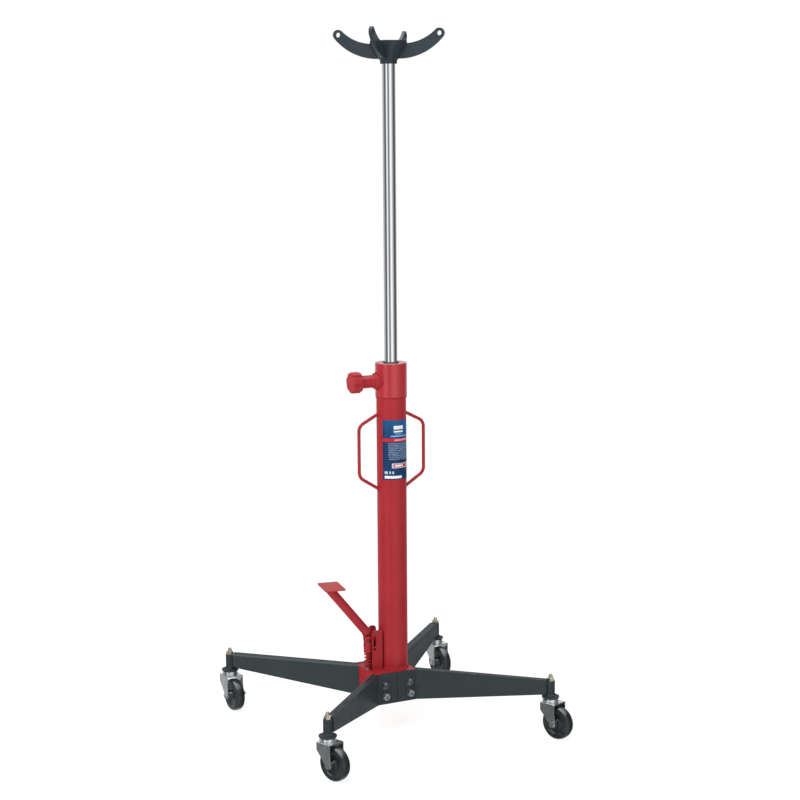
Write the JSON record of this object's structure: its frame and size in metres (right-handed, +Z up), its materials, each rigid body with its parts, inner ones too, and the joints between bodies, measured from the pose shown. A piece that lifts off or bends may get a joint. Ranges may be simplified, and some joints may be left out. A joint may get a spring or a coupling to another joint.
{
  "type": "transmission jack",
  "caption": "Vertical telescopic transmission jack: foot-pumped column with a sliding ram, a cradle saddle with curved arms and a splayed castor base.",
  "frame": {"origin": "on the column axis at floor level", "axes": "+Z up along the column, -Y towards the label side, -X towards the foot pump and the release knob"},
  "size_m": [0.7478, 0.7524, 1.9192],
  "materials": {
    "red_paint": "gloss",
    "black_paint": "gloss",
    "zinc": "satin",
    "dark_steel": "satin",
    "bare_steel": "satin",
    "ram_chrome": "polished",
    "wheel_tread": "satin",
    "seal_rubber": "matt",
    "label_print": "satin"
  },
  "bodies": {
    "base": {"chassis_block": "red_paint", "column_tube": "red_paint", "inner_cylinder": "bare_steel", "head_collar": "red_paint", "wiper_seal": "seal_rubber", "release_stub": "red_paint", "carry_handle_right": "red_paint", "carry_handle_left": "red_paint", "rating_label": "label_print", "leg_plate_front": "black_paint", "leg_plate_right": "black_paint", "leg_plate_back": "black_paint", "leg_plate_left": "black_paint", "leg_channel_front": "black_paint", "leg_channel_right": "black_paint", "leg_channel_back": "black_paint", "leg_channel_left": "black_paint", "flange_washers": "dark_steel", "flange_screws": "dark_steel", "flange_studs": "dark_steel", "flange_nuts": "zinc", "castor_socket_front": "black_paint", "castor_socket_right": "black_paint", "castor_socket_back": "black_paint", "castor_socket_left": "black_paint", "castor_stems": "zinc", "castor_stem_nuts": "zinc", "pump_barrel": "bare_steel", "pump_post": "red_paint", "pedal_pivot_pin": "red_paint", "return_spring": "red_paint"},
    "ram": {"ram_rod": "ram_chrome", "ram_piston": "bare_steel", "piston_seal": "seal_rubber", "saddle_screw": "dark_steel"},
    "saddle": {"saddle_hub": "black_paint", "saddle_arm_front": "black_paint", "saddle_arm_right": "black_paint", "saddle_arm_back": "black_paint", "saddle_arm_left": "black_paint"},
    "release_valve": {"release_knob": "red_paint", "release_spindle": "dark_steel"},
    "pedal": {"pedal_fork": "red_paint", "pedal_arm": "red_paint", "pedal_plate": "red_paint", "plunger_pin": "dark_steel"},
    "plunger": {"pump_plunger": "red_paint"},
    "swivel_front": {"castor_fork_front": "zinc", "castor_axle_front": "zinc"},
    "wheel_front": {"castor_wheel_front": "wheel_tread"},
    "swivel_right": {"castor_fork_right": "zinc", "castor_axle_right": "zinc"},
    "wheel_right": {"castor_wheel_right": "wheel_tread"},
    "swivel_back": {"castor_fork_back": "zinc", "castor_axle_back": "zinc"},
    "wheel_back": {"castor_wheel_back": "wheel_tread"},
    "swivel_left": {"castor_fork_left": "zinc", "castor_axle_left": "zinc"},
    "wheel_left": {"castor_wheel_left": "wheel_tread"}
  },
  "joints": [
    {"name": "ram_lift", "type": "slide", "parent": "base", "child": "ram", "axis": [0, 0, 1], "range_m": [-0.79, 0]},
    {"name": "saddle_turn", "type": "hinge", "parent": "ram", "child": "saddle", "pos_m": [0, 0, 1.827], "axis": [0, 0, 1], "continuous": true},
    {"name": "release_turn", "type": "hinge", "parent": "base", "child": "release_valve", "pos_m": [-0.096, 0, 0.972], "axis": [-1, 0, 0], "range_deg": [0, 360]},
    {"name": "pedal_rock", "type": "hinge", "parent": "base", "child": "pedal", "pos_m": [-0.054, 0.002, 0.2505], "axis": [0, -1, 0], "range_deg": [0, 22]},
    {"name": "plunger_slide", "type": "slide", "parent": "base", "child": "plunger", "axis": [0, 0, -1], "range_m": [0, 0.00984], "deforming": ["return_spring"]},
    {"name": "swivel_front_turn", "type": "hinge", "parent": "base", "child": "swivel_front", "pos_m": [-0.3602, -0.32951, 0.1], "axis": [0, 0, 1], "continuous": true},
    {"name": "wheel_front_roll", "type": "hinge", "parent": "swivel_front", "child": "wheel_front", "pos_m": [-0.35169, -0.35366, 0.0457], "axis": [0.9432, 0.3322, 0], "continuous": true},
    {"name": "swivel_right_turn", "type": "hinge", "parent": "base", "child": "swivel_right", "pos_m": [0.3146, -0.32951, 0.1], "axis": [0, 0, 1], "continuous": true},
    {"name": "wheel_right_roll", "type": "hinge", "parent": "swivel_right", "child": "wheel_right", "pos_m": [0.32344, -0.35354, 0.0457], "axis": [0.9385, 0.3453, 0], "continuous": true},
    {"name": "swivel_back_turn", "type": "hinge", "parent": "base", "child": "swivel_back", "pos_m": [0.3146, 0.32951, 0.1], "axis": [0, 0, 1], "continuous": true},
    {"name": "wheel_back_roll", "type": "hinge", "parent": "swivel_back", "child": "wheel_back", "pos_m": [0.31643, 0.30398, 0.0457], "axis": [0.9974, 0.0715, 0], "continuous": true},
    {"name": "swivel_left_turn", "type": "hinge", "parent": "base", "child": "swivel_left", "pos_m": [-0.3602, 0.32951, 0.1], "axis": [0, 0, 1], "continuous": true},
    {"name": "wheel_left_roll", "type": "hinge", "parent": "swivel_left", "child": "wheel_left", "pos_m": [-0.35877, 0.30395, 0.0457], "axis": [0.9984, 0.0558, 0], "continuous": true}
  ],
  "couplings": [
    {"joint": "plunger_slide", "follows": "pedal_rock", "m_per_rad": 0.025597}
  ]
}
